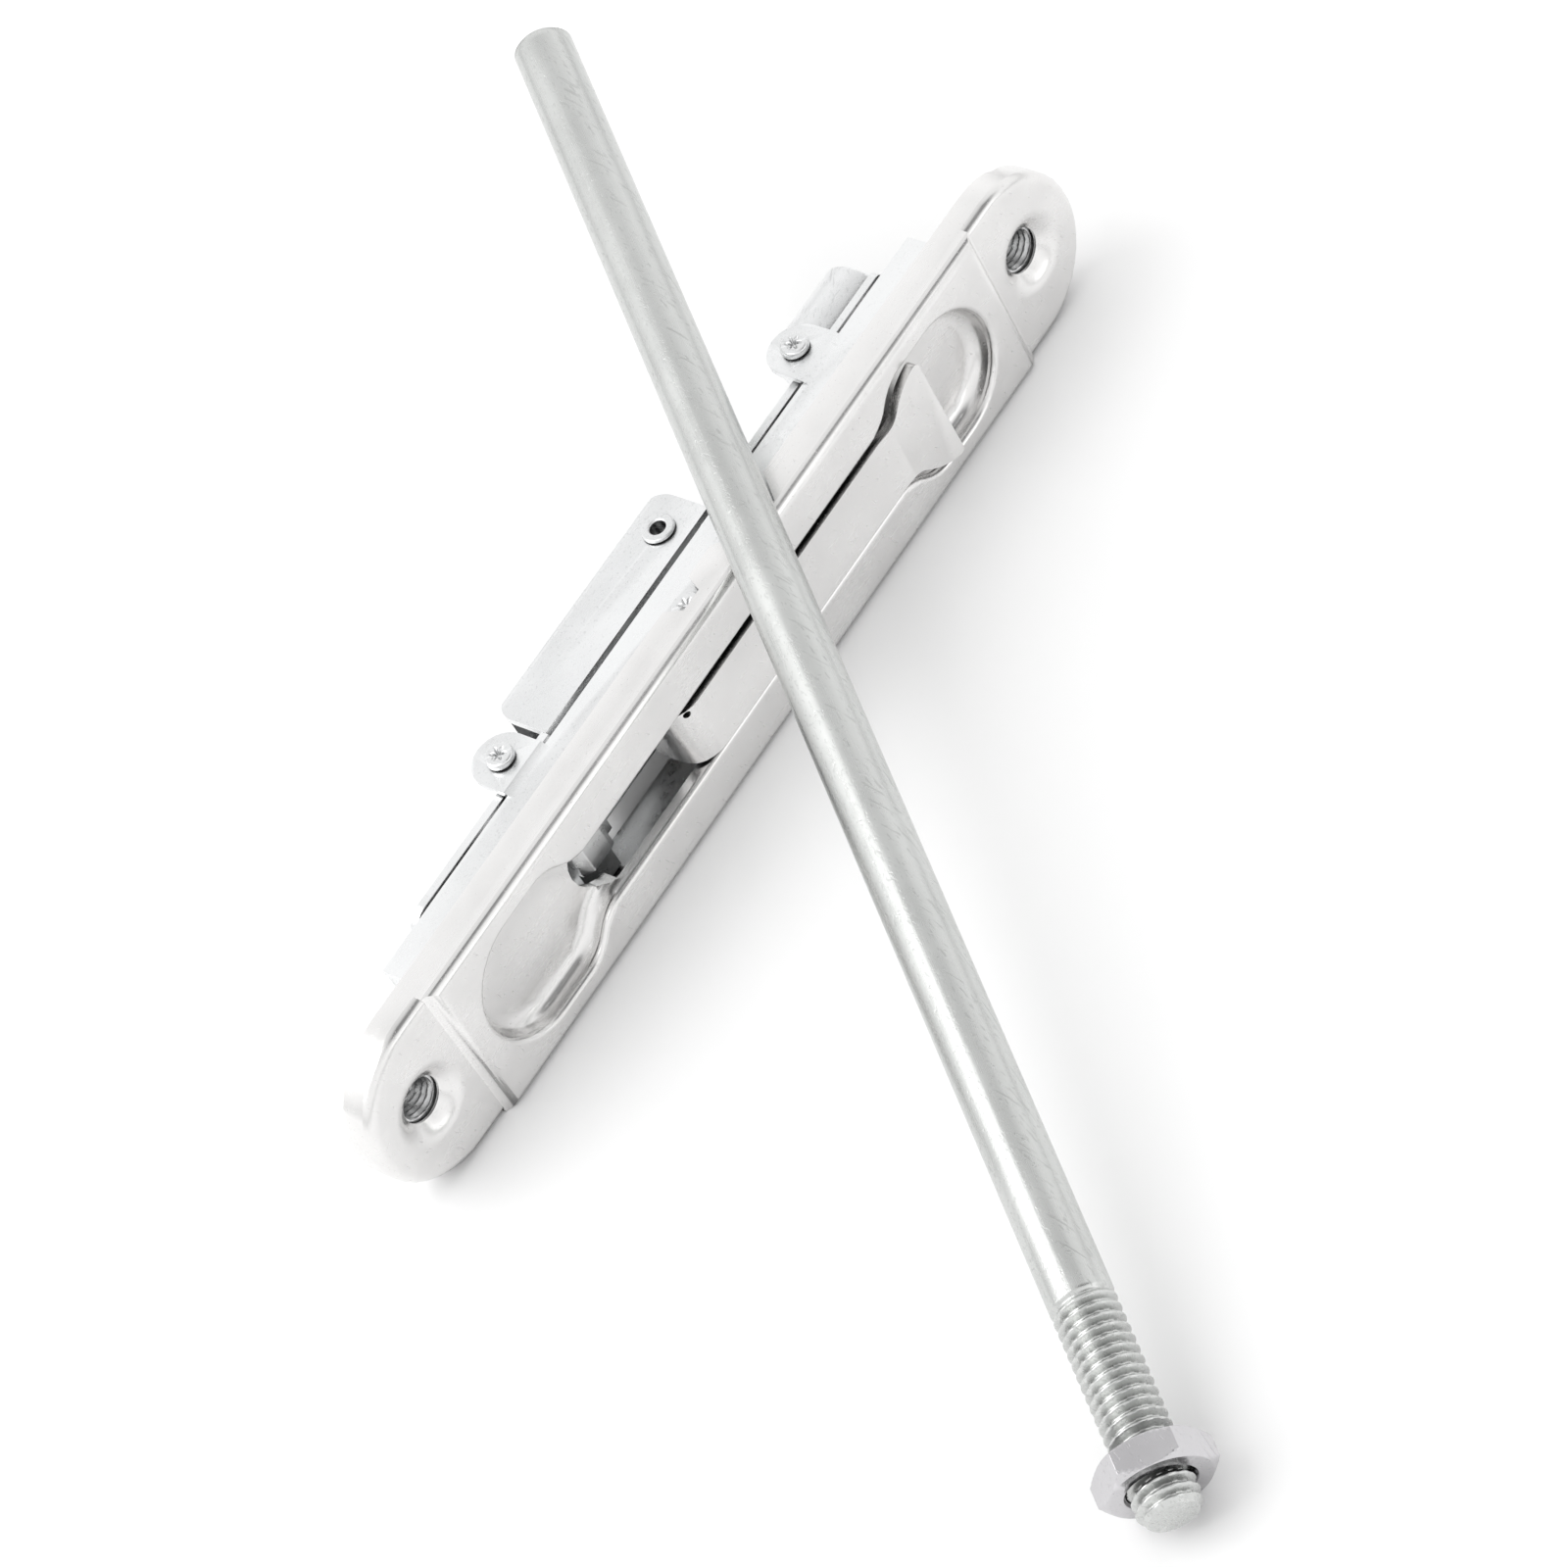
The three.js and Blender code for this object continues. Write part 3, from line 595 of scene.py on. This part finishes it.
def tube_socket(material):
    """The rod's socket: a thick tube along X with rounded ends and a plain blind bore."""
    low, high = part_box("tube_socket")
    length = high.x - low.x
    outer = (high.y - low.y) / 2
    bore = 3.4 * MM
    bottom = 2.4 * MM
    corners = [
        (NEARLY_NOTHING, bottom - length / 2, 0),
        (bore, bottom - length / 2, 0),
        (bore, length / 2, 0.35 * MM),
        (outer, length / 2, 0.4 * MM),
        (outer, -length / 2, 0.3 * MM),
        (NEARLY_NOTHING, -length / 2, 0),
    ]
    mesh = turned_mesh("tube_socket_fine", rounded_profile(corners)[::-1], 96)
    piece = placed("tube_socket_fine", mesh, centre_of("tube_socket"), (1, 0, 0))
    return finish(piece, material, "zinc", "slider", "tube_socket")


def pressed_pieces(stainless, zinc, spring):
    """The pressed and folded sheet pieces."""
    table = (
        ("face_plate", "body", stainless, "stainless", 0.0),
        ("lever", "lever", stainless, "stainless", 0.18 * MM),
        ("housing", "body", zinc, "zinc", 0.12 * MM),
        ("carriage", "slider", zinc, "zinc", 0.15 * MM),
        ("drive_bar", "slider", zinc, "zinc", 0.15 * MM),
        ("stop_block", "body", zinc, "zinc", 0.15 * MM),
        ("leaf_spring", "body", spring, "spring_steel", 0.08 * MM),
    )
    for node, body, material, slot, edge in table:
        piece = refined_copy(node, node + "_fine", edge)
        finish(piece, material, slot, body, node)


def inner_pieces(zinc, bronze):
    """Small pieces inside the housing."""
    for node in ("pivot_spacer_left", "pivot_spacer_right", "spring_rivet"):
        finish(refined_copy(node, node + "_fine", 0.05 * MM), zinc, "zinc", "body", node)
    finish(refined_copy("lever_bush", "lever_bush_fine", 0.1 * MM), bronze, "bronze", "lever", "lever_bush")


# ---------------------------------------------------------------- studio

def look_from(azimuth, elevation, roll, distance, target, lens):
    """A camera on a sphere round the target, turned about its own line of sight by roll."""
    a, e = math.radians(azimuth), math.radians(elevation)
    back = Vector((math.sin(a) * math.cos(e), -math.cos(a) * math.cos(e), math.sin(e)))
    data = bpy.data.cameras.new("camera")
    data.lens = lens
    data.sensor_width = 36
    data.clip_start = 0.01
    data.clip_end = 10
    camera = add_object("camera", data)
    right = Vector((math.cos(a), math.sin(a), 0))
    upright = Matrix((right, back.cross(right), back)).transposed().to_4x4()
    place = Matrix.Translation(Vector(target) + back * distance)
    camera.matrix_world = place @ upright @ Matrix.Rotation(math.radians(roll), 4, "Z")
    bpy.context.scene.camera = camera


def softbox(name, place, target, width, height, power):
    data = bpy.data.lights.new(name, "AREA")
    data.shape = "RECTANGLE"
    data.size = width
    data.size_y = height
    data.energy = power
    lamp = add_object(name, data)
    aim = (Vector(target) - Vector(place)).to_track_quat("-Z", "Y").to_matrix().to_4x4()
    lamp.matrix_world = Matrix.Translation(place) @ aim


def floor():
    """A wide pale floor."""
    half = 3.0
    mesh = bpy.data.meshes.new("floor")
    corners = [(-half, -half, 0), (half, -half, 0), (half, half, 0), (-half, half, 0)]
    mesh.from_pydata(corners, [], [(0, 1, 2, 3)])
    piece = add_object("floor", mesh)
    shader = Shader("pale_floor")
    tone = shader.mix(shader.noise(shader.place, 3.0), grey(0.96), grey(0.98))
    shader.link(tone, shader.surface.inputs["Base Color"])
    shader.surface.inputs["Roughness"].default_value = 0.9
    shader.surface.inputs["Specular IOR Level"].default_value = 0.2
    mesh.materials.append(shader.material)


def studio_world():
    """A bright white tent, greyer at the floor and the top, with one dark patch, for the metal to reflect."""
    world = bpy.data.worlds.new("studio")
    world.use_nodes = True
    bpy.context.scene.world = world
    tree = world.node_tree
    tree.nodes.clear()
    output = tree.nodes.new("ShaderNodeOutputWorld")
    background = tree.nodes.new("ShaderNodeBackground")
    place = tree.nodes.new("ShaderNodeTexCoord")
    split = tree.nodes.new("ShaderNodeSeparateXYZ")
    ramp = tree.nodes.new("ShaderNodeValToRGB")
    tree.links.new(place.outputs["Generated"], split.inputs["Vector"])
    tree.links.new(split.outputs["Z"], ramp.inputs["Fac"])
    stops = ramp.color_ramp.elements
    stops[0].position = 0.0
    stops[0].color = grey(TENT_AT_FLOOR)
    stops[1].position = 1.0
    stops[1].color = grey(TENT_AT_TOP)
    for height, value in TENT_BRIGHTNESS:
        stops.new(height).color = grey(value)
    nearness = tree.nodes.new("ShaderNodeVectorMath")
    nearness.operation = "DOT_PRODUCT"
    nearness.inputs[1].default_value = DARK_OPENING
    tree.links.new(place.outputs["Generated"], nearness.inputs[0])
    shade = tree.nodes.new("ShaderNodeMapRange")
    shade.interpolation_type = "SMOOTHSTEP"
    tree.links.new(nearness.outputs["Value"], shade.inputs["Value"])
    shade.inputs["From Min"].default_value = math.cos(OPENING_EDGE)
    shade.inputs["From Max"].default_value = math.cos(OPENING_CORE)
    shade.inputs["To Min"].default_value = TENT_STRENGTH
    shade.inputs["To Max"].default_value = OPENING_STRENGTH
    tree.links.new(ramp.outputs["Color"], background.inputs["Color"])
    tree.links.new(shade.outputs["Result"], background.inputs["Strength"])
    tree.links.new(background.outputs["Background"], output.inputs["Surface"])


def studio():
    studio_world()
    floor()
    target = (0, 0, 0.01)
    softbox("key_light", (-0.55, 0.35, 0.85), target, 0.9, 0.9, 4.6)
    softbox("front_light", FRONT_GLOW, target, 0.7, 0.22, 0.3)
    softbox("spot_light", DARK_OPENING * 0.8, target, 0.05, 0.05, 0.04)
    look_from(
        azimuth=-29.35,
        elevation=47.6,
        roll=-32.6,
        distance=0.724,
        target=(-0.0086, -0.0086, 0.0026),
        lens=133.7,
    )
    bpy.context.scene.view_settings.view_transform = "Standard"


# ---------------------------------------------------------------- everything together

stainless = satin_stainless()
zinc = bright_zinc()
spring = spring_steel()
pressed_pieces(stainless, zinc, spring)
inner_pieces(zinc, bush_bronze())
cross_rivet("ear_pin_upper", "ear_pin_upper_fine", "body", zinc, **EAR_PIN)
cross_rivet("ear_pin_lower", "ear_pin_lower_fine", "body", zinc, **EAR_PIN)
cross_rivet("pivot_rivet", "pivot_rivet_fine", "body", zinc, **PIVOT)
hollow_rivet("tubular_rivet_left", "tubular_rivet_left_fine", 1, zinc)
hollow_rivet("tubular_rivet_right", "tubular_rivet_right_fine", -1, zinc)
threaded_bush("bush_upper", "bush_upper_fine", zinc)
threaded_bush("bush_lower", "bush_lower_fine", zinc)
tube_socket(zinc)
rod(drawn_zinc())
nut(nut_plating())
studio()
